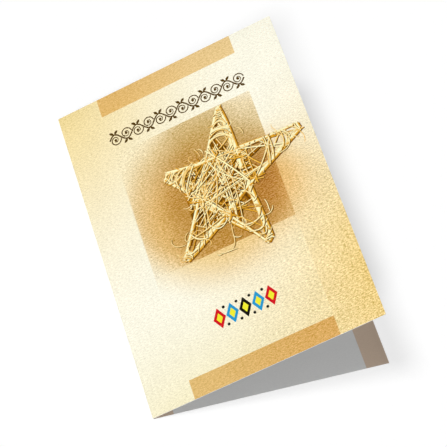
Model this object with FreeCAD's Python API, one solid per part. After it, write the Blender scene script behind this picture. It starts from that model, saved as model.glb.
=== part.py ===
"""Greeting card: one sheet of stiff card, creased once down the middle and left standing ajar.

Frame: +Z is up, +Y runs along the crease to the card's top edge, and +X runs from the crease
to the fore-edge. The card lies on its back leaf, and the origin is the middle of that leaf's
outer face. The front leaf rises from the crease at the opening angle.
"""

import FreeCAD
import Part
import math
import os

# Driving dimensions, in millimetres and degrees
LEAF_WIDTH = 105.0  # from the outside of the crease to the fore-edge
LEAF_HEIGHT = 148.0  # along the crease
STOCK_THICKNESS = 0.35  # board of about 300 grams to the square metre
OPENING_ANGLE = 30.0  # between the two leaves
CREASE_INNER_RADIUS = 0.35  # bend of the board's inner face
BEAD_WIDTH = 0.4  # ridge that the creasing rule raises inside the fold
BEAD_HEIGHT = 0.12

# Sizes that follow from them
CREASE_OUTER_RADIUS = CREASE_INNER_RADIUS + STOCK_THICKNESS
LEAF_FLAT = LEAF_WIDTH - CREASE_OUTER_RADIUS  # flat stretch of each leaf, beyond the bend
BACK_LEAF_ANGLE = -90.0  # where the bend meets the back leaf, seen from its centre
FRONT_LEAF_ANGLE = 90.0 + OPENING_ANGLE - 360.0  # where it meets the front leaf
BEAD_ANGLE = (BACK_LEAF_ANGLE + FRONT_LEAF_ANGLE) / 2  # the bead faces the fore-edges
BEAD_HALF_SPAN = math.degrees(BEAD_WIDTH / 2 / CREASE_INNER_RADIUS)


def section_point(along, up):
    """A point of the card's cross-section, at its bottom edge."""
    return FreeCAD.Vector(along, -LEAF_HEIGHT / 2, up)


def bend_centre():
    """Centre of the crease's bend. Its outside touches the card's left side and the table."""
    return section_point(CREASE_OUTER_RADIUS - LEAF_WIDTH / 2, CREASE_OUTER_RADIUS)


def direction(angle):
    """Unit vector in the cross-section, at an angle above +X."""
    return FreeCAD.Vector(math.cos(math.radians(angle)), 0, math.sin(math.radians(angle)))


def on_bend(radius, angle):
    """Point on a circle round the bend's centre."""
    return bend_centre() + direction(angle) * radius


def bend_arc(radius, start, end):
    """Arc round the bend's centre, from one angle to another."""
    middle = on_bend(radius, (start + end) / 2)
    return Part.Arc(on_bend(radius, start), middle, on_bend(radius, end)).toShape()


def leaf_end(angle, along):
    """Outer and inner corners of a leaf's fore-edge. The leaf runs along a direction from the bend."""
    outer = on_bend(CREASE_OUTER_RADIUS, angle) + along * LEAF_FLAT
    inner = on_bend(CREASE_INNER_RADIUS, angle) + along * LEAF_FLAT
    return outer, inner


def straight(start, end):
    """Straight edge between two points."""
    return Part.LineSegment(start, end).toShape()


def crease_bead():
    """Edge of the low ridge along the inside of the fold."""
    start = BEAD_ANGLE + BEAD_HALF_SPAN
    end = BEAD_ANGLE - BEAD_HALF_SPAN
    crown = on_bend(CREASE_INNER_RADIUS - BEAD_HEIGHT, BEAD_ANGLE)
    return Part.Arc(on_bend(CREASE_INNER_RADIUS, start), crown, on_bend(CREASE_INNER_RADIUS, end)).toShape()


def card_section():
    """Cross-section of the folded sheet, as one closed face."""
    back_outer, back_inner = leaf_end(BACK_LEAF_ANGLE, direction(0.0))
    front_outer, front_inner = leaf_end(FRONT_LEAF_ANGLE, direction(OPENING_ANGLE))
    edges = [
        straight(on_bend(CREASE_OUTER_RADIUS, BACK_LEAF_ANGLE), back_outer),
        straight(back_outer, back_inner),
        straight(back_inner, on_bend(CREASE_INNER_RADIUS, BACK_LEAF_ANGLE)),
        bend_arc(CREASE_INNER_RADIUS, BACK_LEAF_ANGLE, BEAD_ANGLE + BEAD_HALF_SPAN),
        crease_bead(),
        bend_arc(CREASE_INNER_RADIUS, BEAD_ANGLE - BEAD_HALF_SPAN, FRONT_LEAF_ANGLE),
        straight(on_bend(CREASE_INNER_RADIUS, FRONT_LEAF_ANGLE), front_inner),
        straight(front_inner, front_outer),
        straight(front_outer, on_bend(CREASE_OUTER_RADIUS, FRONT_LEAF_ANGLE)),
        bend_arc(CREASE_OUTER_RADIUS, FRONT_LEAF_ANGLE, BACK_LEAF_ANGLE),
    ]
    return Part.Face(Part.Wire(edges))


def folded_card():
    """The whole card: its section, drawn out along the crease."""
    return card_section().extrude(FreeCAD.Vector(0, LEAF_HEIGHT, 0))


def main():
    os.makedirs("parts", exist_ok=True)
    card = folded_card()
    card.exportStep("parts/folded_card.step")
    box = card.BoundBox
    print("folded_card", "solids", len(card.Solids), "valid", card.isValid())
    print("volume", round(card.Volume, 1), "size", [round(side, 2) for side in (box.XLength, box.YLength, box.ZLength)])


main()
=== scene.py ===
"""Greeting card left standing ajar: its folded sheet, the print on its cover and its stage.

All sizes are in metres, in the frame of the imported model. The card lies on its back leaf, the
crease runs along Y on the left, and the front leaf rises from it. A place on the sheet is given
by how far it lies across from the crease and how far down from the top edge.
"""

import math
import random

import bpy
import numpy as np
from bpy.props import FloatProperty, FloatVectorProperty, IntProperty, PointerProperty
from mathutils import Matrix, Quaternion, Vector


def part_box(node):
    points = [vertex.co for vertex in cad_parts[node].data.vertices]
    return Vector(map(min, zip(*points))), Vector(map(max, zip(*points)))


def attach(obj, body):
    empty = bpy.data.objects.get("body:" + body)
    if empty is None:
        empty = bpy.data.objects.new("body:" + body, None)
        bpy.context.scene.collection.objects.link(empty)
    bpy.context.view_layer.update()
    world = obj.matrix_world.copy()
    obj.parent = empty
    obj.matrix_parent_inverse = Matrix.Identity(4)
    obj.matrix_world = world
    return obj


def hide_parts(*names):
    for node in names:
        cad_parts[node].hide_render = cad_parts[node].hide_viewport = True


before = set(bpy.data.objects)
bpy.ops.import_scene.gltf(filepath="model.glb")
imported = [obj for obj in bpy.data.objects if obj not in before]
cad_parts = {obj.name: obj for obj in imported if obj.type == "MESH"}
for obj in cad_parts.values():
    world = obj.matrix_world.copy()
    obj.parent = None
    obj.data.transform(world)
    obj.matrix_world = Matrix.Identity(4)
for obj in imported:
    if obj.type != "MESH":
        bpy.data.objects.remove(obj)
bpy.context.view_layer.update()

bl_info = {
    "name": "Greeting card",
    "version": (1, 0, 0),
    "blender": (4, 5, 0),
    "location": "View3D > Sidebar > Card",
    "description": "Folds and prints a greeting card with a wicker star, and sets its stage",
    "category": "Object",
}

MM = 0.001
CAD_NODE = "folded_card"
LOWEST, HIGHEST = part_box(CAD_NODE)

# How finely the pieces are divided
LEAF_STEPS = 10
CREASE_STEPS = 24
LENGTH_STEPS = 14
STRAND_SIDES = 6
STRAND_STEPS = 12

TOUCH = 0.01 * MM  # how near to each other two points lie that count as one

# The paper's felt marks, and how it takes ink
LONG_MARKS = (0.45, 1.2, 1.0)  # scale of the long marks, which run across the sheet
SHORT_MARKS = 1.25  # how much finer the short marks are
CLOUDS = 0.05  # scale of the faint clouds, against the marks
CLOUD_SHARE = 0.1  # how much the clouds change the tone
MARK_GAMMA = 0.3  # lets the marks change a strong colour nearly as much as a pale one
MARK_BUMP = 0.25  # strength of their relief
MARK_RELIEF = 0.012 * MM  # their height
MARKS_INSIDE = 0.12  # how strongly they show inside the card
MARKS_IN_INK = 0.15  # how strongly they show in solid ink
MARKS_ON_EDGE = 0.2  # how strongly the fibres show in the cut edge
SMOOTHEST = 0.6  # roughness in the hollows of the marks
ROUGHER = 0.3  # how much rougher it is on their crests
PAPER_GLOSS = 0.25  # specular level of paper, bare or lightly printed
INK_GLOSS = 0.05  # that of solid inks, which is less
INK_FILM = 0.012 * MM  # thickness of printed ink
CRISP = 0.15 * MM  # how softly a printed edge ends
FAR = 1.0  # beyond every side of the sheet

SHEET_MAP = "sheet"
SHADE = "shade"


def length(name, millimetres, description):
    """A size that a user may change, given here in millimetres."""
    return FloatProperty(
        name=name, description=description, default=millimetres * MM, unit="LENGTH", precision=5
    )


def turn(name, degrees, description):
    """An angle that a user may change, given here in degrees."""
    return FloatProperty(
        name=name, description=description, default=math.radians(degrees), subtype="ANGLE"
    )


def share(name, value, description):
    """A share from nothing to all."""
    return FloatProperty(
        name=name, description=description, default=value, min=0.0, max=1.0, subtype="FACTOR"
    )


def amount(name, value, description):
    """A plain number above nothing."""
    return FloatProperty(name=name, description=description, default=value, min=0.0)


def spot(name, across, down, reach_across, reach_down, description):
    """A soft glow: the place of its middle, and how far it reaches, all given in millimetres."""
    return FloatVectorProperty(
        name=name,
        description=description,
        size=4,
        default=(across * MM, down * MM, reach_across * MM, reach_down * MM),
        unit="LENGTH",
    )


def place_on_cover(name, across, down, description):
    """A point on the cover, from the crease and from the top edge, given in millimetres."""
    return FloatVectorProperty(
        name=name, description=description, size=2, default=(across * MM, down * MM), unit="LENGTH"
    )


def ink(name, red, green, blue, description):
    """A printed colour, as a swatch on screen gives it."""
    return FloatVectorProperty(
        name=name,
        description=description,
        default=(red / 255, green / 255, blue / 255),
        min=0.0,
        max=1.0,
        subtype="COLOR_GAMMA",
    )


class CardSheet(bpy.types.PropertyGroup):
    """Sizes of the folded sheet."""

    leaf_width: FloatProperty(
        name="Leaf width",
        description="From the outside of the crease to the fore-edge",
        default=HIGHEST.x - LOWEST.x,
        unit="LENGTH",
    )
    leaf_height: FloatProperty(
        name="Leaf height",
        description="Along the crease",
        default=HIGHEST.y - LOWEST.y,
        unit="LENGTH",
    )
    stock: length("Stock", 0.35, "Thickness of the board")
    opening: turn("Opening", 30.0, "Angle between the two leaves")
    inner_radius: length("Inner radius", 0.35, "Bend of the board's inner face")
    bead_height: length("Bead height", 0.12, "Ridge that the creasing rule raises inside the fold")
    bead_width: length("Bead width", 0.4, "Width of that ridge along the bend")
    edge_softness: length("Edge softness", 0.03, "Rounding of the cut edges")
    grain: length("Grain", 0.6, "Size of the felt marks in the paper")
    fibre: length("Fibre", 0.2, "Size of the fibres in the cut edge")
    ivory: ink("Ivory", 253, 250, 231, "Printed ground of the cover, where it is palest")
    # Greyer than white paper: painted shade, deepening the shade that the front leaf throws inside
    # the card
    white: ink("White", 212, 212, 211, "Uncoated paper inside the card")
    core: ink("Core", 255, 255, 253, "Cut edge of the board")
    # The tan of the printed bars, darkened further as painted shade, like the white inside
    bar_tan: ink("Bar tan", 199, 178, 158, "Bars printed inside the back leaf")
    crease_bar: length("Crease bar", 9.0, "Width of the printed bar beside the crease")
    edge_bar: length("Edge bar", 10.4, "Width of the printed bar along the fore-edge")


class CardPrint(bpy.types.PropertyGroup):
    """Fields of colour on the cover. Each ink darkens what is under it."""

    column_left: length("Left column", 19.6, "Right side of the plain column by the crease")
    column_right: length("Right column", 85.15, "Left side of the plain column by the fore-edge")
    top_band: length("Top band", 9.1, "Height of the gold band at the top")
    bottom_band: length("Bottom band", 8.7, "Height of the gold band at the bottom")
    picture_top: length("Picture top", 29.0, "Top of the brown field behind the star")
    picture_bottom: length("Picture bottom", 91.6, "Bottom of that field")
    picture_fade: length("Picture fade", 1.3, "How softly that field ends on its left side")

    warm_corner: spot("Warm corner", -7, -24, 104, 137, "Glow in the top left corner")
    warm_foot: spot("Warm foot", 40, 184, 120, 90, "Glow along the bottom edge")
    deep_corner: spot("Deep corner", 140, 128, 118, 118, "Glow in the lower right corner")
    halo: spot("Halo", 53, 72.5, 46, 42, "Glow that the star throws on the paper")
    side_halo: spot("Side halo", 86, 72.5, 22.5, 31, "The same glow, right of the picture")
    backing: spot("Backing", 63.5, 62.5, 56, 45, "Brown of the picture's field")
    deep_backing: spot("Deep backing", 58, 68, 32, 54.5, "Darker brown behind the star")
    dusk: spot("Dusk", 82, 60, 13, 32, "Darker brown along the picture's right side")
    halo_core: share("Halo core", 0.46, "Part of the halo's reach where it is full")
    backing_core: share("Backing core", 0.7, "Part of the backing's reach where it is full")
    deep_core: share("Deep core", 0.52, "Part of the deep backing's reach where it is full")
    side_share: share("Side share", 0.87, "How much ink the side halo takes")
    column_share: share("Column share", 0.24, "How much more deep ink the right column takes")

    warm_ink: ink("Warm ink", 245, 222, 159, "Ink of the top left corner")
    foot_ink: ink("Foot ink", 242, 232, 190, "Ink along the bottom edge")
    deep_ink: ink("Deep ink", 243, 211, 120, "Ink of the lower right corner")
    halo_ink: ink("Halo ink", 241, 213, 161, "Ink of the glow round the star")
    backing_ink: ink("Backing ink", 238, 222, 194, "First ink of the picture's field")
    deep_backing_ink: ink("Deep backing ink", 220, 204, 161, "Second ink of the picture's field")
    dusk_ink: ink("Dusk ink", 233, 223, 194, "Ink along the picture's right side")
    top_gold: ink("Top gold", 229, 185, 109, "Top band, beside the left column")
    top_pale_gold: ink("Top pale gold", 236, 204, 143, "Top band, beside the right column")
    bottom_gold: ink("Bottom gold", 223, 185, 114, "Bottom band, beside the left column")
    bottom_deep_gold: ink("Bottom deep gold", 216, 167, 90, "Bottom band, beside the right column")

    marks: amount("Marks", 0.9, "How strongly the felt marks show in pale print")
    deep_marks: amount("Deep marks", 1.7, "How much more they show in the lower right corner")
    picture_marks: share("Picture marks", 0.35, "Part of that which they show in the picture")
    band_calm: share("Band calm", 0.6, "Part of that which they lose in the gold bands")


class CardStar(bpy.types.PropertyGroup):
    """The wicker star in the picture, on a frame of five crossed sticks."""

    top: place_on_cover("Top tip", 70.0, 30.0, "Tip of the upright arm")
    right: place_on_cover("Right tip", 100.1, 54.7, "Tip of the right arm")
    lower_right: place_on_cover("Lower right tip", 71.8, 97.7, "Tip of the lower right arm")
    lower_left: place_on_cover("Lower left tip", 34.7, 90.0, "Tip of the lower left arm")
    left: place_on_cover("Left tip", 38.0, 49.7, "Tip of the left arm")
    heart: place_on_cover("Heart", 58.3, 64.0, "Middle of the wound body")
    body: share("Body", 0.46, "Reach of the wound body, against the reach of the arms")
    stick: length("Stick", 2.4, "Width of the sticks that outline the arms")
    cane: length("Cane", 0.6, "Width of the canes wound round them")
    streak: length("Streak", 0.9, "Size of the streaks in the canes' colour")
    streak_depth: share("Streak depth", 0.36, "How far the streaks change the canes' shade")
    seed: IntProperty(name="Seed", description="Picks another winding", default=12, min=0)
    gap: ink("Gap", 70, 38, 0, "Deepest gaps between the canes")
    straw: ink("Straw", 188, 120, 12, "Canes in half shade")
    gold: ink("Gold", 240, 184, 62, "Canes in the light")
    cream: ink("Cream", 255, 249, 198, "Brightest canes")


class CardOrnament(bpy.types.PropertyGroup):
    """The vine above the picture and the row of lozenges below it."""

    vine_down: length("Vine down", 22.0, "Middle of the vine, from the top edge")
    vine_waves: IntProperty(name="Waves", description="Waves of the vine's stem", default=6, min=1)
    vine_swing: length("Swing", 2.1, "How far the stem swings to each side")
    stem: length("Stem", 0.65, "Width of the stem")
    leaf_length: length("Leaf length", 2.7, "From a leaf's foot to its tip")
    leaf_width: length("Leaf width", 1.2, "Across a leaf")
    berry: length("Berry", 1.3, "Across a berry")
    row_across: length("Row across", 52.2, "Middle of the row of lozenges, from the crease")
    row_down: length("Row down", 119.9, "Middle of the row, from the top edge")
    lozenge_pitch: length("Pitch", 5.9, "From one lozenge to the next")
    lozenge_width: length("Lozenge width", 5.7, "Across a lozenge")
    lozenge_height: length("Lozenge height", 9.3, "From tip to tip of a lozenge")
    lozenge_frame: length("Lozenge frame", 1.197, "Width of a lozenge's outer colour")
    row_dot: length("Row dot", 1.3, "Across the dots between the lozenges' tips")
    olive: ink("Olive", 86, 62, 16, "Vine")
    red: ink("Red", 212, 24, 34, "Outer lozenges")
    yellow: ink("Yellow", 243, 238, 52, "Hearts of the lozenges")
    blue: ink("Blue", 40, 154, 208, "Lozenges beside the middle one")
    black: ink("Black", 18, 17, 10, "Middle lozenge")


class CardStage(bpy.types.PropertyGroup):
    """Camera, lamps and floor."""

    azimuth: turn("Azimuth", -31.7, "Where the camera stands, round the card")
    elevation: turn("Elevation", 59.27, "How high it stands")
    roll: turn("Roll", 16.16, "How far it is tipped sideways")
    distance: length("Distance", 775.1, "From the camera to the point it looks at")
    aim_across: length("Aim across", 3.96, "That point on the floor, along X")
    aim_along: length("Aim along", 7.08, "That point on the floor, along Y")
    lens: amount("Lens", 143.13, "Focal length in millimetres")
    key: amount("Key light", 1.3, "Strength of the lamp overhead")
    fill: amount("Fill light", 1.2, "Strength of the lamp in front")
    sky: amount("Sky", 0.23, "Strength of the light from all round")
    floor_glow: share("Floor glow", 0.46, "How far the white floor hides its shadows")
    floor_lift: share("Floor lift", 0.115, "What the lamps fall short of white on the floor")
    floor_bounce: share("Floor bounce", 0.75, "How much light the floor sends up to the card")


def linear(colour):
    """A swatch's colour as the shaders take it."""
    channels = [c / 12.92 if c <= 0.04045 else ((c + 0.055) / 1.055) ** 2.4 for c in colour]
    return (*channels, 1.0)


def deselect_all():
    """Nothing is selected, and Blender is in object mode."""
    if bpy.context.object and bpy.context.object.mode != "OBJECT":
        bpy.ops.object.mode_set(mode="OBJECT")
    bpy.ops.object.select_all(action="DESELECT")


def only(piece):
    """The piece alone is selected and active."""
    deselect_all()
    piece.select_set(True)
    bpy.context.view_layer.objects.active = piece


def pick(piece, wanted, kind="vertices"):
    """In edit mode, selects the vertices, edges or faces for which wanted is true."""
    modes = {"vertices": "VERT", "edges": "EDGE", "polygons": "FACE"}
    bpy.ops.mesh.select_mode(type=modes[kind])
    bpy.ops.mesh.select_all(action="DESELECT")
    bpy.ops.object.mode_set(mode="OBJECT")
    for element in getattr(piece.data, kind):
        element.select = wanted(element)
    bpy.ops.object.mode_set(mode="EDIT")


def apply_all(piece):
    """The piece's modifiers and its place go into its mesh."""
    only(piece)
    for modifier in list(piece.modifiers):
        bpy.ops.object.modifier_apply(modifier=modifier.name)
    bpy.ops.object.transform_apply(location=True, rotation=True, scale=True)


def faces_up(face):
    """True for a face that looks straight up."""
    return face.normal.z > 0.9


def joined(parts, name):
    """The parts as one piece of this name."""
    deselect_all()
    for part in parts:
        part.select_set(True)
    bpy.context.view_layer.objects.active = parts[0]
    bpy.ops.object.join()
    piece = bpy.context.object
    piece.name = name
    piece.data.name = name
    return piece


def outer_radius(sheet):
    """Bend of the board's outer face."""
    return sheet.inner_radius + sheet.stock


def bend_centre(sheet):
    """Centre of the crease's bend, whose outside touches the card's left side and the floor."""
    radius = outer_radius(sheet)
    return Vector((LOWEST.x + radius, 0.0, LOWEST.z + radius))


def front_leaf(sheet):
    """Direction in which the front leaf rises from the crease."""
    return Vector((math.cos(sheet.opening), 0.0, math.sin(sheet.opening)))


def front_normal(sheet):
    """Direction in which the cover faces."""
    return Vector((-math.sin(sheet.opening), 0.0, math.cos(sheet.opening)))


def lay_on_cover(piece, sheet):
    """Puts a drawing on the cover. It was drawn flat, with X across from the crease, Y up the card
    from the middle of its height, and Z off the paper."""
    radius = outer_radius(sheet)
    start = bend_centre(sheet) + front_normal(sheet) * radius - front_leaf(sheet) * radius
    piece.matrix_world = Matrix.Translation(start) @ Matrix.Rotation(-sheet.opening, 4, "Y")
    apply_all(piece)


class Shading:
    """Short ways to add nodes to a material or a node group."""

    def __init__(self, tree):
        self.tree = tree

    def node(self, kind, **settings):
        made = self.tree.nodes.new(kind)
        for name, value in settings.items():
            setattr(made, name, value)
        return made

    def feed(self, socket, source):
        """A socket takes the output of another node, or a plain value."""
        if isinstance(source, bpy.types.NodeSocket):
            self.tree.links.new(source, socket)
        else:
            socket.default_value = source

    def maths(self, operation, *values):
        made = self.node("ShaderNodeMath", operation=operation)
        for socket, value in zip(made.inputs, values):
            self.feed(socket, value)
        return made.outputs[0]

    def plus(self, first, second):
        return self.maths("ADD", first, second)

    def minus(self, first, second):
        return self.maths("SUBTRACT", first, second)

    def times(self, first, second):
        return self.maths("MULTIPLY", first, second)

    def axes(self, vector):
        """The parts of a vector, by the names of their axes."""
        made = self.node("ShaderNodeSeparateXYZ")
        self.feed(made.inputs["Vector"], vector)
        return made.outputs

    def step(self, value, start, end):
        """Rises smoothly from 0 to 1 as the value goes from start to end."""
        made = self.node("ShaderNodeMapRange", interpolation_type="SMOOTHSTEP")
        self.feed(made.inputs["Value"], value)
        self.feed(made.inputs["From Min"], start)
        self.feed(made.inputs["From Max"], end)
        return made.outputs["Result"]

    def mix(self, factor, first, second, blend="MIX"):
        """One colour laid over another."""
        made = self.node("ShaderNodeMix", data_type="RGBA", blend_type=blend)
        self.feed(made.inputs["Factor"], factor)
        self.feed(made.inputs["A"], first)
        self.feed(made.inputs["B"], second)
        return next(socket for socket in made.outputs if socket.type == "RGBA")

    def noise(self, place, scale, detail):
        """A cloudy value from 0 to 1."""
        made = self.node("ShaderNodeTexNoise")
        self.feed(made.inputs["Vector"], place)
        self.feed(made.inputs["Scale"], scale)
        self.feed(made.inputs["Detail"], detail)
        return made.outputs["Fac"]

    def group(self, tree, **values):
        """Places a node group. A name's underscores stand for the spaces in its sockets' names."""
        made = self.node("ShaderNodeGroup", node_tree=tree)
        for name, value in values.items():
            self.feed(made.inputs[name.replace("_", " ")], value)
        return made.outputs


def new_group(name, inputs, outputs):
    """An empty node group with these named sockets, and its input and output nodes."""
    tree = bpy.data.node_groups.new(name, "ShaderNodeTree")
    for label, kind in inputs.items():
        tree.interface.new_socket(name=label, in_out="INPUT", socket_type=kind)
    for label, kind in outputs.items():
        tree.interface.new_socket(name=label, in_out="OUTPUT", socket_type=kind)
    shading = Shading(tree)
    return shading, shading.node("NodeGroupInput").outputs, shading.node("NodeGroupOutput").inputs


def felt_grain():
    """Felt marks in the paper, which mostly run across it: a height for the bump, and how much
    lighter or darker the print is."""
    if "Felt grain" in bpy.data.node_groups:
        return bpy.data.node_groups["Felt grain"]
    inputs = {"Place": "NodeSocketVector", "Size": "NodeSocketFloat", "Strength": "NodeSocketFloat"}
    outputs = {"Height": "NodeSocketFloat", "Tone": "NodeSocketFloat"}
    shading, given, result = new_group("Felt grain", inputs, outputs)
    per_mark = shading.maths("DIVIDE", 1.0, given["Size"])
    drawn_out = shading.node("ShaderNodeVectorMath", operation="MULTIPLY")
    shading.feed(drawn_out.inputs[0], given["Place"])
    shading.feed(drawn_out.inputs[1], LONG_MARKS)
    long_marks = shading.noise(drawn_out.outputs["Vector"], per_mark, 1.0)
    short_marks = shading.noise(given["Place"], shading.times(per_mark, SHORT_MARKS), 1.0)
    relief = shading.times(shading.plus(long_marks, short_marks), 0.5)
    clouds = shading.noise(given["Place"], shading.times(per_mark, CLOUDS), 2.0)
    cloudy = shading.times(shading.minus(clouds, 0.5), CLOUD_SHARE)
    spread = shading.plus(shading.minus(relief, 0.5), cloudy)
    shading.feed(result["Height"], relief)
    shading.feed(result["Tone"], shading.plus(1.0, shading.times(spread, given["Strength"])))
    return shading.tree


def soft_field():
    """A rectangle on the sheet, whose sides may each be crisp or fade out."""
    if "Soft field" in bpy.data.node_groups:
        return bpy.data.node_groups["Soft field"]
    sides = {"Left": "X", "Right": "X", "Top": "Y", "Bottom": "Y"}
    inputs = {"Place": "NodeSocketVector"}
    inputs.update({side: "NodeSocketFloat" for side in sides})
    inputs.update({f"{side} fade": "NodeSocketFloat" for side in sides})
    shading, given, result = new_group("Soft field", inputs, {"Mask": "NodeSocketFloat"})
    place = shading.axes(given["Place"])
    masks = []
    for side, axis in sides.items():
        fade = given[f"{side} fade"]
        start = shading.minus(given[side], shading.times(fade, 0.5))
        mask = shading.step(place[axis], start, shading.plus(start, fade))
        if side in ("Right", "Bottom"):
            mask = shading.minus(1.0, mask)
        masks.append(mask)
    across, down = shading.times(*masks[:2]), shading.times(*masks[2:])
    shading.feed(result["Mask"], shading.times(across, down))
    return shading.tree


def soft_glow():
    """A round or oval glow: full within its core, and fading to nothing at its reach."""
    if "Soft glow" in bpy.data.node_groups:
        return bpy.data.node_groups["Soft glow"]
    names = ("Across", "Down", "Reach across", "Reach down", "Core")
    inputs = {"Place": "NodeSocketVector"}
    inputs.update({name: "NodeSocketFloat" for name in names})
    shading, given, result = new_group("Soft glow", inputs, {"Mask": "NodeSocketFloat"})
    place = shading.axes(given["Place"])
    parts = []
    for axis, middle, reach in (("X", "Across", "Reach across"), ("Y", "Down", "Reach down")):
        offset = shading.minus(place[axis], given[middle])
        scaled = shading.maths("DIVIDE", offset, given[reach])
        parts.append(shading.times(scaled, scaled))
    away = shading.maths("SQRT", shading.plus(*parts))
    faded = shading.step(away, given["Core"], 1.0)
    shading.feed(result["Mask"], shading.minus(1.0, faded))
    return shading.tree


def new_material(name):
    """A material with a Principled shader and nothing else."""
    material = bpy.data.materials.new(name)
    material.use_nodes = True
    material.node_tree.nodes.clear()
    shading = Shading(material.node_tree)
    shader = shading.node("ShaderNodeBsdfPrincipled")
    output = shading.node("ShaderNodeOutputMaterial")
    shading.feed(output.inputs["Surface"], shader.outputs["BSDF"])
    return material, shading, shader.inputs


def paper_surface(shading, inputs, place, colour, grain, strength, gloss=PAPER_GLOSS):
    """Prints a colour on matte paper with felt marks. They change a pale colour and a strong one
    about as much."""
    felt = shading.group(felt_grain(), Place=place, Size=grain, Strength=strength)
    softened = shading.node("ShaderNodeGamma")
    shading.feed(softened.inputs["Color"], colour)
    shading.feed(softened.inputs["Gamma"], MARK_GAMMA)
    change = shading.minus(felt["Tone"], 1.0)
    marks = shading.mix(1.0, softened.outputs["Color"], change, "MULTIPLY")
    shading.feed(inputs["Base Color"], shading.mix(1.0, colour, marks, "ADD"))
    rougher = shading.times(felt["Height"], ROUGHER)
    shading.feed(inputs["Roughness"], shading.plus(SMOOTHEST, rougher))
    bump = shading.node("ShaderNodeBump")
    shading.feed(bump.inputs["Strength"], MARK_BUMP)
    shading.feed(bump.inputs["Distance"], MARK_RELIEF)
    shading.feed(bump.inputs["Height"], felt["Height"])
    shading.feed(inputs["Normal"], bump.outputs["Normal"])
    shading.feed(inputs["Specular IOR Level"], gloss)


def printed_field(shading, place, left, right, top, bottom, left_fade=CRISP):
    """Mask of a rectangle in the print. Its sides are crisp, but the left one may fade out."""
    return shading.group(
        soft_field(),
        Place=place,
        Left=left,
        Right=right,
        Top=top,
        Bottom=bottom,
        Left_fade=left_fade,
        Right_fade=CRISP,
        Top_fade=CRISP,
        Bottom_fade=CRISP,
    )["Mask"]


def printed_glow(shading, place, spot_settings, core=0.0):
    """Mask of a glow in the print."""
    across, down, reach_across, reach_down = spot_settings
    return shading.group(
        soft_glow(),
        Place=place,
        Across=across,
        Down=down,
        Reach_across=reach_across,
        Reach_down=reach_down,
        Core=core,
    )["Mask"]


def cover_print(sheet, layout):
    """The outside of the card: ivory with warm corners, gold bands, and a brown field and glow
    behind the star."""
    material, shading, inputs = new_material("Cover print")
    place = shading.node("ShaderNodeUVMap", uv_map=SHEET_MAP).outputs["UV"]
    start, end = layout.column_left, layout.column_right

    def field(*sides):
        return printed_field(shading, place, *sides)

    def glow(settings, core=0.0):
        return printed_glow(shading, place, settings, core)

    picture = field(start, end, layout.picture_top, layout.picture_bottom, layout.picture_fade)
    right_column = field(end, FAR, -FAR, FAR)
    below_vine = field(start, FAR, layout.picture_top, FAR)
    deep_corner = glow(layout.deep_corner)
    in_column = shading.times(right_column, shading.times(deep_corner, layout.column_share))
    beside = shading.times(glow(layout.side_halo), layout.side_share)
    around = shading.times(below_vine, glow(layout.halo, layout.halo_core))
    backing = shading.times(picture, glow(layout.backing, layout.backing_core))
    deep_backing = shading.times(picture, glow(layout.deep_backing, layout.deep_core))
    tone = linear(sheet.ivory)
    for colour, mask in (
        (layout.warm_ink, glow(layout.warm_corner)),
        (layout.foot_ink, glow(layout.warm_foot)),
        (layout.deep_ink, deep_corner),
        (layout.deep_ink, in_column),
        (layout.halo_ink, beside),
        (layout.halo_ink, around),
        (layout.backing_ink, backing),
        (layout.deep_backing_ink, deep_backing),
        (layout.dusk_ink, shading.times(picture, glow(layout.dusk))),
    ):
        tone = shading.mix(mask, tone, linear(colour), "MULTIPLY")

    across = shading.step(shading.axes(place)["X"], start, end)
    bands = []
    for top, bottom, left_gold, right_gold in (
        (-FAR, layout.top_band, layout.top_gold, layout.top_pale_gold),
        (sheet.leaf_height - layout.bottom_band, FAR, layout.bottom_gold, layout.bottom_deep_gold),
    ):
        band = field(start, end, top, bottom)
        gold = shading.mix(across, linear(left_gold), linear(right_gold))
        tone = shading.mix(band, tone, gold)
        bands.append(band)

    deep = shading.maths("MAXIMUM", deep_corner, shading.times(picture, layout.picture_marks))
    calm = shading.times(shading.maths("MAXIMUM", *bands), layout.band_calm)
    rough = shading.times(deep, shading.minus(1.0, calm))
    strength = shading.plus(layout.marks, shading.times(rough, layout.deep_marks))
    paper_surface(shading, inputs, place, tone, sheet.grain, strength)
    return material


def inside_print(sheet):
    """The inside of the card: white, with a tan bar at each side of the back leaf. Both are
    coloured darker than they are, as painted shade under the front leaf.
    """
    material, shading, inputs = new_material("Inside print")
    place = shading.node("ShaderNodeUVMap", uv_map=SHEET_MAP).outputs["UV"]
    tone = linear(sheet.white)
    for left, right in ((-sheet.crease_bar, 0.0), (-FAR, sheet.edge_bar - sheet.leaf_width)):
        bar = printed_field(shading, place, left, right, -FAR, FAR)
        tone = shading.mix(bar, tone, linear(sheet.bar_tan))
    paper_surface(shading, inputs, place, tone, sheet.grain, MARKS_INSIDE)
    return material


def cut_edge(sheet):
    """The board's core, seen where it was cut, with fine fibres in it."""
    material, shading, inputs = new_material("Cut edge")
    place = shading.node("ShaderNodeTexCoord").outputs["Object"]
    paper_surface(shading, inputs, place, linear(sheet.core), sheet.fibre, MARKS_ON_EDGE)
    return material


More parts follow.
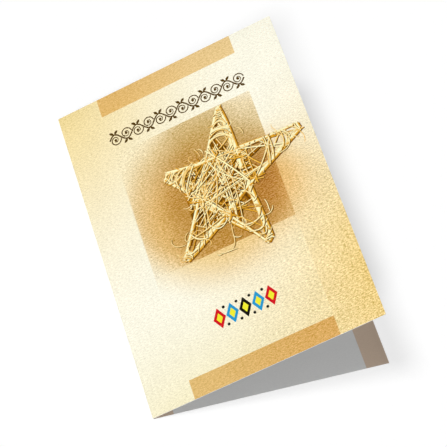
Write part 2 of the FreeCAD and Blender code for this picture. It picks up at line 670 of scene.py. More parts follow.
def star_cane(sheet, star):
    """Printed canes, coloured by the shade that was worked out for each point of them, with
    streaks of their own."""
    material, shading, inputs = new_material("Printed cane")
    shade = shading.node("ShaderNodeAttribute", attribute_type="GEOMETRY", attribute_name=SHADE)
    place = shading.node("ShaderNodeTexCoord").outputs["Object"]
    streaks = shading.minus(shading.noise(place, 1 / star.streak, 2.0), 0.5)
    varied = shading.plus(shade.outputs["Fac"], shading.times(streaks, star.streak_depth))
    ramp = shading.node("ShaderNodeValToRGB")
    shading.feed(ramp.inputs["Fac"], varied)
    stops = ((0.0, star.gap), (0.37, star.straw), (0.7, star.gold), (0.95, star.cream))
    while len(ramp.color_ramp.elements) < len(stops):
        ramp.color_ramp.elements.new(0.5)
    for element, (position, colour) in zip(ramp.color_ramp.elements, stops):
        element.position = position
        element.color = linear(colour)
    paper_surface(
        shading, inputs, place, ramp.outputs["Color"], sheet.grain, MARKS_IN_INK, INK_GLOSS
    )
    return material


def plain_ink(name, colour, sheet):
    """One colour of ink on the paper's felt marks."""
    material, shading, inputs = new_material(name)
    place = shading.node("ShaderNodeTexCoord").outputs["Object"]
    paper_surface(shading, inputs, place, linear(colour), sheet.grain, MARKS_IN_INK, INK_GLOSS)
    return material


def bend_ring(sheet, number):
    """Angle of one ring of the bend, from the back leaf's ring to the front leaf's."""
    return -math.pi / 2 - (math.pi - sheet.opening) * number / CREASE_STEPS


def fold_leaves(sheet):
    """The sheet's outer face: the back leaf, spun round the crease and drawn out as the front
    leaf."""
    radius = outer_radius(sheet)
    flat = sheet.leaf_width - radius
    start = bend_centre(sheet)
    deselect_all()
    bpy.ops.mesh.primitive_grid_add(
        x_subdivisions=LEAF_STEPS,
        y_subdivisions=LENGTH_STEPS,
        size=1.0,
        location=(start.x + flat / 2, 0.0, LOWEST.z),
    )
    piece = bpy.context.object
    piece.scale = (flat, sheet.leaf_height, 1.0)
    apply_all(piece)
    bpy.ops.object.mode_set(mode="EDIT")
    pick(piece, lambda vertex: vertex.co.x < start.x + TOUCH)
    bpy.ops.mesh.spin(
        steps=CREASE_STEPS, angle=math.pi - sheet.opening, center=start, axis=(0.0, -1.0, 0.0)
    )
    for _ in range(LEAF_STEPS):
        bpy.ops.mesh.extrude_region_move(
            TRANSFORM_OT_translate={"value": front_leaf(sheet) * flat / LEAF_STEPS}
        )
    bpy.ops.mesh.select_all(action="SELECT")
    bpy.ops.mesh.remove_doubles(threshold=TOUCH)
    bpy.ops.mesh.normals_make_consistent(inside=False)
    bpy.ops.object.mode_set(mode="OBJECT")
    lowest = min(piece.data.polygons, key=lambda face: face.center.z)
    if lowest.normal.z > 0:
        piece.data.flip_normals()
    return piece


def raise_bead(piece, sheet):
    """The ridge inside the fold, raised ring by ring."""
    start = bend_centre(sheet)
    half_span = sheet.bead_width / 2 / sheet.inner_radius
    middle = -math.pi / 2 - (math.pi - sheet.opening) / 2
    for number in range(1, CREASE_STEPS):
        angle = bend_ring(sheet, number)
        if abs(angle - middle) >= half_span:
            continue
        outward = Vector((math.cos(angle), 0.0, math.sin(angle)))
        ring = start + outward * sheet.inner_radius

        def on_ring(vertex):
            return abs(vertex.co.x - ring.x) < TOUCH and abs(vertex.co.z - ring.z) < TOUCH

        pick(piece, on_ring)
        rise = sheet.bead_height * (1 + math.cos(math.pi * (angle - middle) / half_span)) / 2
        bpy.ops.transform.translate(value=-outward * rise)


def map_sheet(piece, sheet):
    """Gives every corner its place on the flat sheet, in metres: across from the crease, the back
    leaf on the negative side, and down from the top edge."""
    start = bend_centre(sheet)
    radius = outer_radius(sheet)
    mesh = piece.data
    layer = mesh.uv_layers.new(name=SHEET_MAP)
    rise = front_leaf(sheet)
    off_cover = front_normal(sheet)
    middle = math.pi + sheet.opening / 2

    def across(point):
        arm = Vector((point.x - start.x, 0.0, point.z - start.z))
        along_front = arm.dot(rise)
        if along_front > 0 and arm.dot(off_cover) > 0:
            return radius + along_front
        if arm.x > 0 and arm.z < 0:
            return -radius - arm.x
        angle = math.atan2(arm.z, arm.x) % (2 * math.pi)
        return radius * (middle - angle) / ((math.pi - sheet.opening) / 2)

    for loop in mesh.loops:
        point = mesh.vertices[loop.vertex_index].co
        layer.data[loop.index].uv = (across(point), HIGHEST.y - point.y)


class CARD_OT_fold_sheet(bpy.types.Operator):
    """Fold the card from one sheet of board and print both its faces"""

    bl_idname = "card.fold_sheet"
    bl_label = "Fold the sheet"

    CUT_CORNER = math.radians(60)  # sharper turns than this are the board's cut corners
    SMOOTH_TURN = math.radians(40)  # gentler turns than this are shaded as smooth

    def execute(self, context):
        scene = context.scene
        sheet = scene.card_sheet
        piece = fold_leaves(sheet)
        piece.name = "card_sheet"
        piece.data.name = "card_sheet"
        piece.data.materials.append(cover_print(sheet, scene.card_print))
        piece.data.materials.append(inside_print(sheet))
        piece.data.materials.append(cut_edge(sheet))
        wall = piece.modifiers.new("Board", "SOLIDIFY")
        wall.thickness = sheet.stock
        wall.offset = -1.0
        wall.use_even_offset = True
        wall.material_offset = 1
        wall.material_offset_rim = 2
        apply_all(piece)
        bpy.ops.object.mode_set(mode="EDIT")
        raise_bead(piece, sheet)
        bpy.ops.object.mode_set(mode="OBJECT")
        softened = piece.modifiers.new("Soft edges", "BEVEL")
        softened.width = sheet.edge_softness
        softened.segments = 2
        softened.limit_method = "ANGLE"
        softened.angle_limit = self.CUT_CORNER
        softened.material = 2
        apply_all(piece)
        map_sheet(piece, sheet)
        bpy.ops.object.shade_smooth_by_angle(angle=self.SMOOTH_TURN)
        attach(piece, "root")
        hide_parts(CAD_NODE)
        return {"FINISHED"}


def strand_blank():
    """A straight bar, one unit long and wide, from which every printed strand is bent."""
    deselect_all()
    bpy.ops.mesh.primitive_cylinder_add(
        vertices=STRAND_SIDES, radius=0.5, depth=1.0, rotation=(0.0, math.pi / 2, 0.0)
    )
    blank = bpy.context.object
    apply_all(blank)
    bpy.ops.object.mode_set(mode="EDIT")

    def runs_along(edge):
        first, second = (blank.data.vertices[index].co for index in edge.vertices)
        return abs(first.x - second.x) > 0.5

    pick(blank, runs_along, "edges")
    bpy.ops.mesh.subdivide(number_cuts=STRAND_STEPS - 1)
    bpy.ops.object.mode_set(mode="OBJECT")
    return blank


class Strands:
    """Bends copies of the blank along paths, and joins them as one printed piece."""

    LIGHT = Vector((-0.55, 0.5, 0.67))  # where the light of the picture comes from
    DIM = 0.62  # what a strand keeps of its tone where it is turned from that light
    GAIN = 1.4  # how soon it reaches its full tone as it turns towards that light

    def __init__(self, blank):
        self.blank = blank
        self.made = []
        places = np.empty(len(blank.data.vertices) * 3)
        blank.data.vertices.foreach_get("co", places)
        places = places.reshape(-1, 3)
        self.ring = np.rint((places[:, 0] + 0.5) * STRAND_STEPS).astype(int)
        self.side = places[:, 1] * 2
        self.up = places[:, 2] * 2
        self.steps = np.linspace(0.0, 1.0, STRAND_STEPS + 1)

    def lay(self, centres, width, lift, tone, blunt=0.9):
        """One strand along these centres. Its tone goes from 0 for the deepest to 1 for the
        brightest, and blunt is how much of its width is left at its ends."""
        along = np.gradient(centres, axis=0)
        along /= np.linalg.norm(along, axis=1)[:, None]
        left = np.stack([-along[:, 1], along[:, 0]], 1)
        taper = 1 - (1 - blunt) * np.abs(2 * self.steps - 1) ** 4
        spread = self.side * width / 2 * taper[self.ring]
        flat = centres[self.ring] + left[self.ring] * spread[:, None]
        height = lift + self.up * INK_FILM / 2
        facing = (left[self.ring] @ np.array(self.LIGHT[:2])) * self.side + self.up * self.LIGHT.z
        shade = tone * (self.DIM + (1 - self.DIM) * np.clip(self.GAIN * facing, 0.0, 1.0))
        strand = self.blank.copy()
        strand.data = self.blank.data.copy()
        bpy.context.collection.objects.link(strand)
        places = np.column_stack([flat, height])
        strand.data.vertices.foreach_set("co", places.ravel())
        strand.data.attributes.new(SHADE, "FLOAT", "POINT").data.foreach_set("value", shade)
        self.made.append(strand)

    def arc(self, start, end, bow):
        """Centres along a shallow arc. Its middle stands off the straight line by bow."""
        start, end = np.array(start), np.array(end)
        chord = end - start
        off = np.array([-chord[1], chord[0]]) / max(np.linalg.norm(chord), 1e-9)
        t = self.steps[:, None]
        return start + chord * t + off * bow * 4 * t * (1 - t)

    def curl(self, start, heading, reach, bend, wind):
        """Centres along a loose fibre that bends more and more."""
        turned = heading + bend * self.steps + wind * self.steps**3
        runs = np.stack([np.cos(turned), np.sin(turned)], 1) * reach / STRAND_STEPS
        return np.array(start) + np.cumsum(runs, axis=0) - runs[0]

    def join(self, name, material):
        """All the strands as one piece."""
        piece = joined(self.made, name)
        piece.data.materials.append(material)
        bpy.data.objects.remove(self.blank)
        return piece


def towards(angle):
    """Direction on the cover at this angle."""
    return np.array([math.cos(angle), math.sin(angle)])


class StarShape:
    """A star on a frame of five sticks, each from one tip to the next but one. It is an upright
    regular star seen at a slant: two arms worked out from its tips turn any other point with them.
    Its wound body has a middle of its own."""

    SWELL = 0.1  # how much farther the body reaches into the arms than between them

    def __init__(self, star, height):
        self.star = star
        self.height = height
        corners = (star.top, star.right, star.lower_right, star.lower_left, star.left)
        self.tips = [self.drawn(*corner) for corner in corners]
        self.middle = sum(self.tips) / len(self.tips)
        self.heart = self.drawn(*star.heart)
        self.across = np.zeros(2)
        self.upright = np.zeros(2)
        for arm, tip in enumerate(self.tips):
            turned = math.tau / 4 - math.tau / 5 * arm
            self.across += (tip - self.middle) * math.cos(turned) * 2 / 5
            self.upright += (tip - self.middle) * math.sin(turned) * 2 / 5

    def drawn(self, across, down):
        """A place on the cover, as it stands in the flat drawing."""
        return np.array([across, self.height / 2 - down])

    def rim(self, angle, inward=1.0):
        """The point at this angle on the edge of the wound body, which runs out into each arm."""
        reach = self.star.body * inward * (1 + self.SWELL * math.cos(5 * angle - math.tau / 4))
        return self.heart + (self.across * math.cos(angle) + self.upright * math.sin(angle)) * reach

    def along_stick(self, arm, t, hand=1):
        """A point of the stick from this arm's tip to the next tip but one, clockwise, or with a
        hand of -1 the other way round. Its t is 0 at this arm's tip and 1 at the other."""
        start, end = self.tips[arm], self.tips[(arm + 2 * hand) % 5]
        return start + (end - start) * t


class CARD_OT_weave_star(bpy.types.Operator):
    """Print the wicker star: crossed sticks, canes wound round them and loose fibres"""

    bl_idname = "card.weave_star"
    bl_label = "Weave the star"

    TOP = 0.13 * MM  # how far the topmost canes lie off the paper
    AWAY = np.array([0.7, -0.7])  # where shadows fall on the cover
    SHADOW = -0.05  # tone of the shadow that a cane throws on those below it
    STICK_SHADOW = 0.18  # tone of a stick's shadow
    DROP = 0.3 * MM  # how far a broad stick's shadow stands out
    BELOW = 0.06  # how far under its cane a shadow lies, as a share of the winding's height
    DARK_SIDE = 0.76  # tone of a stick's lower side, against the stick's own
    # The paler strips on a stick: width, shift towards the light, both against the stick's width,
    # and tone
    STRIPS = ((0.74, 0.11, 1.04), (0.38, 0.16, 1.32))
    STRIP_RISE = 0.02  # how far each of them lies over the one before it
    EVENLY = 0.618  # steps of this share of the whole never fall twice on the same place
    ARM = 0.38  # how far along its stick an arm ends, where the stick meets the body
    NEAREST = 0.03  # how near an arm's tip the winding comes, along its stick
    BED = 26  # dark strips under the winding
    SHORT_CANES = 180  # short canes and dark slivers all over the body
    WRAPS = 7  # canes wrapped round each stick of an arm
    NOTCH_CANES = 5  # canes in each notch between two arms
    LOOSE_FIBRES = 40  # fibres that curl off the sticks
    # Layers of the body, lowest first: bundles, width of the canes against the star's, lowest and
    # highest level, and the tones from dim to bright
    LAYERS = (
        dict(bundles=26, width=1.6, low=0.12, high=0.36, dim=0.1, bright=0.4),
        dict(bundles=18, width=1.0, low=0.45, high=0.66, dim=0.25, bright=0.6),
        dict(bundles=24, width=0.8, low=0.74, high=0.95, dim=0.85, bright=1.2),
    )
    # What differs from arm to arm, clockwise from the upright one: half the width of its end in
    # millimetres, the widths of its two sticks, clockwise side first, against the star's stick,
    # the canes bound across its end, those wound from side to side, those in each of its two
    # loops, and the level and tone of the long stick that starts there
    ARMS = (
        dict(end=0.35, sticks=(0.8, 0.75), bound=4, wound=7, looped=5, level=0.72, tone=0.85),
        dict(end=1.4, sticks=(0.85, 0.5), bound=1, wound=10, looped=4, level=0.78, tone=0.9),
        dict(end=1.2, sticks=(0.5, 0.95), bound=2, wound=7, looped=2, level=0.66, tone=0.78),
        dict(end=0.6, sticks=(0.65, 1.0), bound=3, wound=6, looped=2, level=0.66, tone=0.78),
        dict(end=1.7, sticks=(0.8, 0.65), bound=2, wound=12, looped=5, level=0.7, tone=0.8),
    )
    # Fibres that stand clear of the star: where each starts, across and down the cover in
    # millimetres, its heading in degrees, its reach, and how far it bends evenly and at its end
    CLEAR_FIBRES = (
        (37.0, 83.0, 185, 9.0, -1.0, -1.2),
        (40.0, 78.0, 200, 6.0, 0.9, 1.6),
        (58.5, 83.0, -110, 11.5, 0.9, -1.4),
        (57.4, 88.0, -80, 4.5, 1.6, 0.0),
        (57.4, 94.6, 165, 8.5, 0.7, -1.1),
        (50.5, 94.0, 200, 3.0, -1.5, 0.0),
        (75.0, 79.0, -60, 6.5, -1.2, 0.8),
        (73.5, 86.0, -20, 5.5, 1.8, 0.0),
        (55.4, 48.0, 95, 5.0, 0.5, 0.0),
        (57.0, 47.5, 75, 4.5, 1.5, 0.0),
        (76.4, 47.0, 88, 5.0, 0.4, 1.0),
        (88.0, 62.5, -10, 9.0, 1.2, 0.8),
    )

    def execute(self, context):
        scene = context.scene
        sheet, star = scene.card_sheet, scene.card_star
        draw = random.Random(star.seed)
        shape = StarShape(star, sheet.leaf_height)
        strands = Strands(strand_blank())
        for step in (
            self.cross_sticks,
            self.wind_body,
            self.scatter_canes,
            self.lay_arms,
            self.wind_arms,
            self.loop_arms,
            self.loosen_fibres,
        ):
            step(strands, shape, draw)
        piece = strands.join("cover_star", star_cane(sheet, star))
        lay_on_cover(piece, sheet)
        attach(piece, "root")
        return {"FINISHED"}

    def shaded(self, strands, centres, width, level, tone, blunt=0.9, shadow=SHADOW):
        """A cane and the shadow that it throws to its lower right. Its level is 0 on the paper and
        1 on top of the winding."""
        drop = self.AWAY * min(0.6 * width, self.DROP)
        strands.lay(centres + drop, width * 1.25, (level - self.BELOW) * self.TOP, shadow, blunt)
        strands.lay(centres, width, level * self.TOP, tone, blunt)

    def stick(self, strands, centres, width, level, tone, blunt=0.85):
        """A round stick: darker along its lower side, and palest in a strip towards the light."""
        dark = tone * self.DARK_SIDE
        self.shaded(strands, centres, width, level, dark, blunt, self.STICK_SHADOW)
        for share_of_width, shift, lighter in self.STRIPS:
            strip = centres - self.AWAY * shift * width
            level += self.STRIP_RISE
            strands.lay(strip, width * share_of_width, level * self.TOP, tone * lighter, blunt)

    def cross_sticks(self, strands, shape, draw):
        """A dark bed under the winding, and the five long sticks that cross over most of it."""
        for number in range(self.BED):
            angle = math.pi * number / self.BED
            start, end = shape.rim(angle, 0.9), shape.rim(angle + math.pi, 0.9)
            centres = strands.arc(start, end, 0.0)
            strands.lay(centres, 3.2 * MM, 0.04 * self.TOP, draw.uniform(0.0, 0.2))
        for arm, kind in enumerate(self.ARMS):
            start, end = shape.along_stick(arm, 0.1), shape.along_stick(arm, 0.9)
            centres = strands.arc(start, end, draw.gauss(0, 0.8) * MM)
            self.stick(strands, centres, shape.star.stick * 0.8, kind["level"], kind["tone"])

    def wind_body(self, strands, shape, draw):
        """Bundles of canes over the body, brighter in the upper layers. Every second one runs from
        one arm's stick to another's, and the others cross from rim to rim at any angle."""
        for layer in self.LAYERS:
            for number in range(layer["bundles"]):
                angle = draw.uniform(0, math.pi)
                away = 1.8 * (number * self.EVENLY % 1) - 0.9
                bow = draw.gauss(0, 1.0) * MM
                arm, other = number % 5, (number + draw.choice((2, 3))) % 5
                hands = draw.choice((-1, 1)), draw.choice((-1, 1))
                places = draw.uniform(0.2, 0.4), draw.uniform(0.2, 0.4)
                for _ in range(draw.randint(1, 3)):
                    if number % 2:
                        start = shape.along_stick(arm, places[0] + draw.gauss(0, 0.02), hands[0])
                        end = shape.along_stick(other, places[1] + draw.gauss(0, 0.02), hands[1])
                    else:
                        near = max(-0.96, min(0.96, away + draw.gauss(0, 0.07)))
                        half = math.acos(abs(near)) * (1 + draw.gauss(0, 0.05))
                        facing = angle + draw.gauss(0, 0.05) + (0.0 if near > 0 else math.pi)
                        start, end = shape.rim(facing - half), shape.rim(facing + half)
                    self.shaded(
                        strands,
                        strands.arc(start, end, bow + draw.gauss(0, 0.5) * MM),
                        shape.star.cane * layer["width"] * draw.uniform(0.8, 1.2),
                        draw.uniform(layer["low"], layer["high"]),
                        draw.uniform(layer["dim"], layer["bright"]),
                    )

    def scatter_canes(self, strands, shape, draw):
        """Short canes all over the body. Two in three are dark slivers, as the gaps there are."""
        for number in range(self.SHORT_CANES):
            middle = shape.rim(draw.uniform(0, math.tau), 0.95 * math.sqrt(draw.random()))
            reach = towards(draw.uniform(0, math.pi)) * draw.uniform(1.2, 5.0) * MM
            centres = strands.arc(middle - reach, middle + reach, draw.gauss(0, 0.6) * MM)
            width = shape.star.cane * draw.uniform(0.7, 1.0)
            level = draw.uniform(0.5, 0.9)
            if number % 3 == 0:
                self.shaded(strands, centres, width, level, draw.uniform(0.4, 1.1))
            else:
                sliver = strands.arc(middle - reach / 2, middle + reach / 2, 0.0)
                strands.lay(sliver, width, level * self.TOP, 0.0, 0.3)

    def lay_arms(self, strands, shape, draw):
        """Two round sticks along each arm, each with canes wrapped round it, and a short one that
        joins them at its end."""
        for arm, kind in enumerate(self.ARMS):
            ends = []
            for hand, share_of_width in zip((1, -1), kind["sticks"]):
                inner = shape.along_stick(arm, self.ARM + draw.uniform(0.02, 0.12), hand)
                outer = shape.along_stick(arm, draw.uniform(-0.006, 0.01), hand)
                across = shape.along_stick(arm, 0.3, hand) - shape.along_stick(arm, 0.3, -hand)
                outer = outer + across / np.linalg.norm(across) * kind["end"] * MM
                centres = strands.arc(inner, outer, draw.gauss(0, 0.35) * MM)
                width = shape.star.stick * share_of_width
                self.stick(strands, centres, width, 0.82 + 0.06 * hand, draw.uniform(1.02, 1.12))
                self.wrap_stick(strands, inner, outer, width, draw)
                ends.append(outer)
            joint = strands.arc(*ends, 0.3 * kind["end"] * MM)
            self.stick(strands, joint, shape.star.stick * 0.7, 0.74, 1.0)
            self.bind_tip(strands, shape, arm, kind, draw)

    def wrap_stick(self, strands, inner, outer, width, draw):
        """Short canes that wrap one stick at a slant."""
        along = (outer - inner) / np.linalg.norm(outer - inner)
        left = np.array([-along[1], along[0]])
        for number in range(self.WRAPS):
            middle = inner + (outer - inner) * (number + draw.uniform(0.1, 0.9)) / self.WRAPS
            slant = draw.choice((-1, 1)) * draw.uniform(0.5, 1.6)
            reach = (left + along * slant) * width * draw.uniform(0.5, 0.68)
            centres = strands.arc(middle - reach, middle + reach, draw.gauss(0, 0.3) * MM)
            tone = draw.uniform(0.75, 1.05)
            self.shaded(strands, centres, 0.45 * MM * draw.uniform(0.8, 1.3), 0.94, tone, 0.5)

    def bind_tip(self, strands, shape, arm, kind, draw):
        """Canes bound across the end of an arm."""
        tip = shape.tips[arm]
        inward = (shape.middle - tip) / np.linalg.norm(shape.middle - tip)
        across = np.array([-inward[1], inward[0]])
        for number in range(kind["bound"]):
            middle = tip + inward * (1.0 + 0.9 * number) * MM
            half = (kind["end"] + 0.9 + 0.16 * number) * MM
            reach = (across + inward * draw.gauss(0, 0.25)) * half
            centres = strands.arc(middle - reach, middle + reach, -0.5 * MM)
            self.shaded(strands, centres, shape.star.cane, 0.96, draw.uniform(0.8, 1.05), 0.6)

    def wind_arms(self, strands, shape, draw):
        """Canes that go from side to side of each arm, with the field behind seen between them."""
        for arm, kind in enumerate(self.ARMS):
            for number in range(kind["wound"]):
                t = self.ARM * (1.12 - 0.9 * (number + draw.uniform(-0.3, 0.3)) / kind["wound"])
                tilt = draw.gauss(0, 0.13)
                start = shape.along_stick(arm, max(self.NEAREST, t + tilt), 1)
                end = shape.along_stick(arm, max(self.NEAREST, t - tilt), -1)
                past = (end - start) * draw.uniform(0.02, 0.1)
                centres = strands.arc(start - past, end + past, draw.gauss(0, 0.8) * MM)
                width = shape.star.cane * draw.uniform(0.75, 1.15)
                self.shaded(strands, centres, width, draw.uniform(0.7, 1.0), draw.uniform(0.6, 1.1))

    def loop_arms(self, strands, shape, draw):
        """Bundles that arch over both sticks of an arm, and canes round the notches."""
        for arm, kind in enumerate(self.ARMS):
            for t in (draw.uniform(0.1, 0.14), draw.uniform(0.2, 0.26)):
                for _ in range(kind["looped"]):
                    place = t + draw.gauss(0, 0.03)
                    left = shape.along_stick(arm, place, -1)
                    right = shape.along_stick(arm, place, 1)
                    past = (right - left) * draw.uniform(0.06, 0.16)
                    centres = strands.arc(left - past, right + past, draw.uniform(0.5, 3.8) * MM)
                    tone = draw.uniform(0.85, 1.1)
                    level = draw.uniform(0.92, 1.05)
                    self.shaded(strands, centres, shape.star.cane * 0.95, level, tone)
            notch = shape.along_stick(arm, self.ARM, 1)
            for _ in range(self.NOTCH_CANES):
                reach = towards(draw.uniform(0, math.tau)) * draw.uniform(2.0, 4.5) * MM
                centres = strands.arc(notch - reach, notch + reach, draw.gauss(0, 0.8) * MM)
                level = draw.uniform(0.9, 1.05)
                self.shaded(strands, centres, shape.star.cane, level, draw.uniform(0.6, 1.0))

    def loosen_fibres(self, strands, shape, draw):
        """Fine fibres: some that stand clear of the star, and some that curl off the sticks."""
        for across, down, heading, reach, bend, wind in self.CLEAR_FIBRES:
            start = shape.drawn(across * MM, down * MM)
            centres = strands.curl(start, math.radians(heading), reach * MM, bend, wind)
            self.shaded(strands, centres, shape.star.cane * 0.7, 1.0, draw.uniform(0.9, 1.1), 0.3)
        for _ in range(self.LOOSE_FIBRES):
            arm, hand = draw.randrange(5), draw.choice((-1, 1))
            start = shape.along_stick(arm, draw.uniform(0.02, 0.42), hand)
            heading = draw.uniform(0, math.tau)
            reach = draw.uniform(3.0, 9.0) * MM
            centres = strands.curl(start, heading, reach, draw.gauss(0, 1.6), draw.gauss(0, 2.6))
            width = shape.star.cane * draw.uniform(0.5, 0.75)
            level = draw.uniform(0.95, 1.1)
            strands.lay(centres, width, level * self.TOP, draw.uniform(0.8, 1.05), 0.3)


def ink_film(piece):
    """Gives a flat outline the thickness of printed ink."""
    only(piece)
    bpy.ops.object.mode_set(mode="EDIT")
    bpy.ops.mesh.select_all(action="SELECT")
    bpy.ops.mesh.extrude_region_move(TRANSFORM_OT_translate={"value": (0.0, 0.0, INK_FILM)})
    bpy.ops.mesh.select_all(action="SELECT")
    bpy.ops.mesh.normals_make_consistent(inside=False)
    bpy.ops.object.mode_set(mode="OBJECT")


def copied(piece, matrix):
    """A copy with its own mesh, put in its place."""
    twin = piece.copy()
    twin.data = piece.data.copy()
    bpy.context.collection.objects.link(twin)
    twin.data.transform(matrix)
    return twin


def placed(across, up, angle=0.0, wide=1.0, high=1.0):
    """Scales a drawing's part, turns it and moves it to its place."""
    turned = Matrix.Rotation(angle, 4, "Z") @ Matrix.Diagonal((wide, high, 1.0, 1.0))
    return Matrix.Translation((across, up, 0.0)) @ turned


def outline(corners):
    """A flat outline with this many corners, one unit across."""
    deselect_all()
    bpy.ops.mesh.primitive_circle_add(vertices=corners, radius=0.5, fill_type="NGON")
    return bpy.context.object


def leaf_blank(ornament):
    """One pointed leaf, with its foot at the origin and its tip along X."""
    leaf = outline(14)
    bpy.ops.object.mode_set(mode="EDIT")
    bpy.ops.transform.rotate(value=math.pi / 2, orient_axis="Z", center_override=(0.0, 0.0, 0.0))
    drawn_out = 0.22  # how far the corner at each end is pulled
    last_corner = 0.49  # farther out than all the other corners
    for end in (-1, 1):
        pick(leaf, lambda vertex, end=end: vertex.co.x * end > last_corner)
        bpy.ops.transform.translate(value=(drawn_out * end, 0.0, 0.0))
    bpy.ops.object.mode_set(mode="OBJECT")
    half = 0.5 + drawn_out
    leaf.location.x = half
    apply_all(leaf)
    scale = (ornament.leaf_length / (2 * half), ornament.leaf_width, 1.0, 1.0)
    leaf.data.transform(Matrix.Diagonal(scale))
    ink_film(leaf)
    return leaf


def dot_blank():
    """One round dot, one unit across."""
    dot = outline(16)
    ink_film(dot)
    return dot


def lozenge_blank(ornament):
    """One lozenge with its heart inset, so that the two may take different inks."""
    lozenge = outline(4)
    lozenge.scale = (ornament.lozenge_width, ornament.lozenge_height, 1.0)
    apply_all(lozenge)
    ink_film(lozenge)
    bpy.ops.object.mode_set(mode="EDIT")
    pick(lozenge, faces_up, "polygons")
    bpy.ops.mesh.inset(thickness=ornament.lozenge_frame)
    bpy.ops.object.mode_set(mode="OBJECT")
    return lozenge


class CARD_OT_draw_ornaments(bpy.types.Operator):
    """Print the running vine above the picture and the row of lozenges below it"""

    bl_idname = "card.draw_ornaments"
    bl_label = "Draw the ornaments"

    COIL = -2.7 * math.pi  # how far a tendril turns from its crest
    TIGHTEN = 0.72  # share of its radius that it loses on the way
    LEANS = (38, 142)  # how the two leaves of a crest stand, in degrees

    def execute(self, context):
        scene = context.scene
        for name, parts in (
            ("cover_vine", self.vine(scene)),
            ("cover_lozenges", self.lozenges(scene)),
        ):
            piece = joined(parts, name)
            lay_on_cover(piece, scene.card_sheet)
            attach(piece, "root")
        return {"FINISHED"}

    def vine(self, scene):
        """A waving stem. From each wave a tendril curls round a berry, under a pair of leaves."""
        sheet, layout, ornament = scene.card_sheet, scene.card_print, scene.card_ornament
        start, end = layout.column_left, layout.column_right
        half_wave = (end - start) / ornament.vine_waves / 2
        middle = sheet.leaf_height / 2 - ornament.vine_down
        strands = Strands(strand_blank())
        leaf = leaf_blank(ornament)
        dot = dot_blank()
        parts = []
        for number in range(2 * ornament.vine_waves):
            left = start + number * half_wave
            side = 1 if number % 2 == 0 else -1
            t = strands.steps
            swing = ornament.vine_swing * side * np.sin(np.pi * t)
            centres = np.column_stack([left + half_wave * t, middle + swing])
            strands.lay(centres, ornament.stem, INK_FILM / 2, 1.0, 1.0)
            crest = left + half_wave / 2
            hollow = middle - ornament.vine_swing * 0.3 * side
            for half in (0, 1):
                along = (half + t) / 2
                turned = self.COIL * along
                radius = half_wave / 2 * (1 - self.TIGHTEN * along**0.8)
                sideways, upwards = radius * np.cos(turned), side * radius * np.sin(turned)
                curl = np.column_stack([crest + sideways, hollow + upwards])
                thin = ornament.stem * (0.8 - 0.2 * half)
                strands.lay(curl, thin, INK_FILM / 2, 1.0, 1.0)
            parts.append(copied(dot, placed(crest, hollow, 0.0, ornament.berry, ornament.berry)))
            foot = middle + (ornament.vine_swing + 0.1 * MM) * side
            for lean in self.LEANS:
                parts.append(copied(leaf, placed(crest, foot, side * math.radians(lean))))
        material = plain_ink("Olive ink", ornament.olive, sheet)
        stem = strands.join("stem", material)
        for part in parts:
            part.data.materials.append(material)
        bpy.data.objects.remove(leaf)
        bpy.data.objects.remove(dot)
        return [stem, *parts]

    def lozenges(self, scene):
        """Five lozenges in a row, with a dot above and below each gap between them."""
        sheet, ornament = scene.card_sheet, scene.card_ornament
        inks = {
            name: plain_ink(f"{name.title()} ink", getattr(ornament, name), sheet)
            for name in ("red", "yellow", "blue", "black")
        }
        row = ("red", "blue", "black", "blue", "red")
        middle = (len(row) - 1) / 2
        up = sheet.leaf_height / 2 - ornament.row_down
        lozenge = lozenge_blank(ornament)
        dot = dot_blank()
        parts = []
        for number, name in enumerate(row):
            across = ornament.row_across + (number - middle) * ornament.lozenge_pitch
            part = copied(lozenge, placed(across, up))
            part.data.materials.append(inks[name])
            part.data.materials.append(inks["yellow"])
            heart = min(
                filter(faces_up, part.data.polygons),
                key=lambda face: (face.center - Vector((across, up, face.center.z))).length,
            )
            heart.material_index = 1
            parts.append(part)
            if number == 0:
                continue
            for side in (1, -1):
                dot_up = up + side * (ornament.lozenge_height - ornament.row_dot) / 2
                dot_across = across - ornament.lozenge_pitch / 2
                place = placed(dot_across, dot_up, 0.0, ornament.row_dot, ornament.row_dot)
                round_dot = copied(dot, place)
                round_dot.data.materials.append(inks["black"])
                parts.append(round_dot)
        bpy.data.objects.remove(lozenge)
        bpy.data.objects.remove(dot)
        return parts


def light_paths(shading):
    """1 for rays that come straight from the eye, or by way of a mirror or glass."""
    paths = shading.node("ShaderNodeLightPath").outputs
    seen = shading.maths("MAXIMUM", paths["Is Camera Ray"], paths["Is Glossy Ray"])
    return shading.maths("MAXIMUM", seen, paths["Is Transmission Ray"])


def white_floor(stage):
    """A matte white floor. Seen by the camera it is white where nothing shades it. Its glow is the
    share of that white which no shadow takes away, and its lift is what the lamps fall short of."""
    glow, shaded = stage.floor_glow, 1.0 - stage.floor_glow
    material = bpy.data.materials.new("White floor")
    material.use_nodes = True
    material.node_tree.nodes.clear()
    shading = Shading(material.node_tree)
    seen = light_paths(shading)
    matte = shading.node("ShaderNodeBsdfDiffuse")
    whites = [(white, white, white, 1.0) for white in (stage.floor_bounce, shaded)]
    shading.feed(matte.inputs["Color"], shading.mix(seen, *whites))
    shine = shading.node("ShaderNodeEmission")
    strength = shading.times(seen, glow + stage.floor_lift * shaded)
    shading.feed(shine.inputs["Strength"], strength)
    both = shading.node("ShaderNodeAddShader")
    shading.feed(both.inputs[0], matte.outputs[0])
    shading.feed(both.inputs[1], shine.outputs[0])
    output = shading.node("ShaderNodeOutputMaterial")
    shading.feed(output.inputs["Surface"], both.outputs[0])
    return material


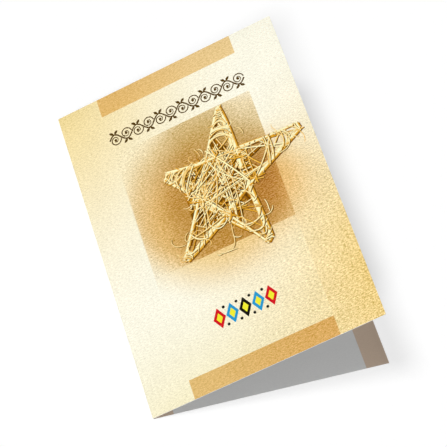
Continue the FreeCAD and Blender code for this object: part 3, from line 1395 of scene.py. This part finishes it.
class CARD_OT_set_stage(bpy.types.Operator):
    """Set the white floor, the lamps and the camera"""

    bl_idname = "card.set_stage"
    bl_label = "Set the stage"

    FLOOR_SIZE = 6.0
    SENSOR = 36.0
    KEY_FROM = Vector((-0.43, 0.08, 0.90))
    FILL_FROM = Vector((-0.39, -0.52, 0.76))
    LAMP_SPREAD = math.radians(13)

    def execute(self, context):
        stage = context.scene.card_stage
        self.lay_floor(stage)
        self.hang_lamps(context, stage)
        self.place_camera(context, stage)
        return {"FINISHED"}

    def lay_floor(self, stage):
        deselect_all()
        bpy.ops.mesh.primitive_plane_add(size=self.FLOOR_SIZE, location=(0.0, 0.0, LOWEST.z))
        floor = bpy.context.object
        floor.name = "floor"
        apply_all(floor)
        floor.data.materials.append(white_floor(stage))

    def hang_lamps(self, context, stage):
        for name, strength, direction in (
            ("key_light", stage.key, self.KEY_FROM),
            ("fill_light", stage.fill, self.FILL_FROM),
        ):
            bpy.ops.object.light_add(type="SUN")
            lamp = bpy.context.object
            lamp.name = name
            lamp.data.energy = strength
            lamp.data.angle = self.LAMP_SPREAD
            lamp.rotation_euler = direction.to_track_quat("Z", "Y").to_euler()
        world = bpy.data.worlds.new("Studio")
        world.use_nodes = True
        world.node_tree.nodes.clear()
        shading = Shading(world.node_tree)
        strength = shading.node("ShaderNodeMix", data_type="FLOAT")
        shading.feed(strength.inputs["Factor"], light_paths(shading))
        shading.feed(strength.inputs["A"], stage.sky)
        shading.feed(strength.inputs["B"], 1.0)
        background = shading.node("ShaderNodeBackground")
        shading.feed(background.inputs["Color"], (1.0, 1.0, 1.0, 1.0))
        shading.feed(background.inputs["Strength"], strength.outputs["Result"])
        output = shading.node("ShaderNodeOutputWorld")
        shading.feed(output.inputs["Surface"], background.outputs[0])
        context.scene.world = world

    def place_camera(self, context, stage):
        to_camera = Vector(
            (
                math.sin(stage.azimuth) * math.cos(stage.elevation),
                -math.cos(stage.azimuth) * math.cos(stage.elevation),
                math.sin(stage.elevation),
            )
        )
        aim = Vector((stage.aim_across, stage.aim_along, LOWEST.z))
        bpy.ops.object.camera_add(location=aim + to_camera * stage.distance)
        camera = bpy.context.object
        camera.name = "camera"
        level = (-to_camera).to_track_quat("-Z", "Y")
        camera.rotation_euler = (level @ Quaternion((0.0, 0.0, 1.0), stage.roll)).to_euler()
        camera.data.sensor_width = self.SENSOR
        camera.data.lens = stage.lens
        camera.data.clip_start = 0.01
        camera.data.clip_end = 20.0
        context.scene.camera = camera
        context.scene.view_settings.view_transform = "Standard"


class CARD_PT_sidebar(bpy.types.Panel):
    """Lists the card's sizes and colours and the steps that make it"""

    bl_idname = "CARD_PT_sidebar"
    bl_label = "Greeting card"
    bl_space_type = "VIEW_3D"
    bl_region_type = "UI"
    bl_category = "Card"

    def draw(self, context):
        for name, _ in SETTINGS:
            settings = getattr(context.scene, name)
            box = self.layout.box()
            for label in settings.__annotations__:
                box.prop(settings, label)
        for operator in OPERATORS:
            self.layout.operator(operator.bl_idname)


SETTINGS = (
    ("card_sheet", CardSheet),
    ("card_print", CardPrint),
    ("card_star", CardStar),
    ("card_ornament", CardOrnament),
    ("card_stage", CardStage),
)
OPERATORS = (
    CARD_OT_fold_sheet,
    CARD_OT_weave_star,
    CARD_OT_draw_ornaments,
    CARD_OT_set_stage,
)
CLASSES = (*(group for _, group in SETTINGS), *OPERATORS, CARD_PT_sidebar)


def register():
    for cls in CLASSES:
        bpy.utils.register_class(cls)
    for name, group in SETTINGS:
        setattr(bpy.types.Scene, name, PointerProperty(type=group))


def unregister():
    for name, _ in SETTINGS:
        delattr(bpy.types.Scene, name)
    for cls in reversed(CLASSES):
        bpy.utils.unregister_class(cls)


def main():
    """Makes the card and its stage."""
    register()
    bpy.ops.card.fold_sheet()
    bpy.ops.card.weave_star()
    bpy.ops.card.draw_ornaments()
    bpy.ops.card.set_stage()


if __name__ == "__main__":
    main()
